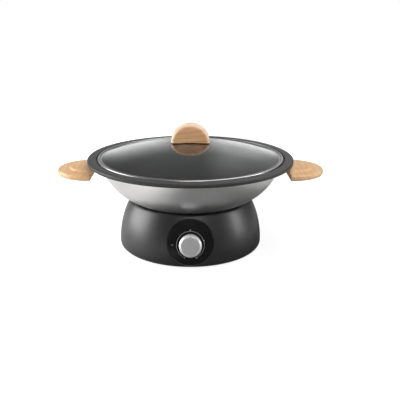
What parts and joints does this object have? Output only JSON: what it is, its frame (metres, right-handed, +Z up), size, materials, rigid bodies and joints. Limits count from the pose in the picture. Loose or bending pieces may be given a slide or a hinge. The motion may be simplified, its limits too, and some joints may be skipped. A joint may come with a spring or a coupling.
{
  "type": "electric wok",
  "caption": "Round electric wok: a lift-off cast pan with wooden half-moon handles and a domed glass lid on a bell-shaped heated base with a dial.",
  "frame": {"origin": "on the table under the middle of the pan, at the underside of the feet", "axes": "+Z up; the dial faces -Y; the two handles lie along X"},
  "size_m": [0.4686, 0.3596, 0.2194],
  "materials": {
    "housing_plastic": "satin black moulding",
    "heat_plastic": "matt black heat-resistant moulding",
    "gloss_panel": "high gloss black",
    "pilot_lens": "dark red clear lens",
    "lamp_glass": "clear lamp envelope",
    "insulator": "cream insulating moulding",
    "bright_steel": "bright stainless steel",
    "dial_metal": "brushed face with a polished edge",
    "copper": "drawn copper",
    "reflector_sheet": "bright pressed sheet",
    "element_sheath": "heat-darkened sheath",
    "foot_rubber": "matt black rubber",
    "lead_rubber": "silicone insulation",
    "cast_aluminium": "satin silver outside, dark non-stick inside and on the rim",
    "handle_wood": "oiled pale hardwood",
    "knob_wood": "oiled pale hardwood",
    "lid_glass": "clear toughened glass",
    "insert_brass": "turned brass"
  },
  "bodies": {
    "base": {"base_housing": "housing_plastic", "seat_ring": "heat_plastic", "control_panel": "gloss_panel", "pilot_lens": "pilot_lens", "pilot_lamp": "lamp_glass", "thermostat_body": "insulator", "thermostat_nut": "bright_steel", "sensor_bulb": "copper", "sensor_clip": "bright_steel", "capillary_tube": "copper", "reflector_dish": "reflector_sheet", "heating_element": "element_sheath", "element_brackets": "bright_steel", "reflector_screws": "bright_steel", "thermal_fuse": "insulator", "fuse_clip": "bright_steel", "bottom_cover": "housing_plastic", "cover_screws": "bright_steel", "rubber_feet": "foot_rubber", "terminal_block": "insulator", "internal_leads": "lead_rubber", "cord_gland": "heat_plastic", "gland_nut": "heat_plastic"},
    "dial": {"dial_knob": "dial_metal", "dial_face": "dial_metal", "dial_pointer": "housing_plastic", "thermostat_shaft": "bright_steel"},
    "wok": {"wok_pan": "cast_aluminium", "handle_left": "handle_wood", "handle_right": "handle_wood", "handle_screws": "bright_steel"},
    "lid": {"lid_glass": "lid_glass", "lid_band": "bright_steel", "lid_knob": "knob_wood", "knob_insert": "insert_brass", "knob_gasket": "foot_rubber", "knob_washer": "bright_steel", "knob_screw": "bright_steel"}
  },
  "joints": [
    {"name": "dial_turn", "type": "hinge", "parent": "base", "child": "dial", "pos_m": [0, -0.11836, 0.03963], "axis": [0, -0.9744, 0.225], "range_deg": [-135, 135]},
    {"name": "pan_lift", "type": "slide", "parent": "base", "child": "wok", "axis": [0, 0, 1], "range_m": [0, 0.15]},
    {"name": "lid_lift", "type": "slide", "parent": "wok", "child": "lid", "axis": [0, 0, 1], "range_m": [0, 0.15]}
  ]
}
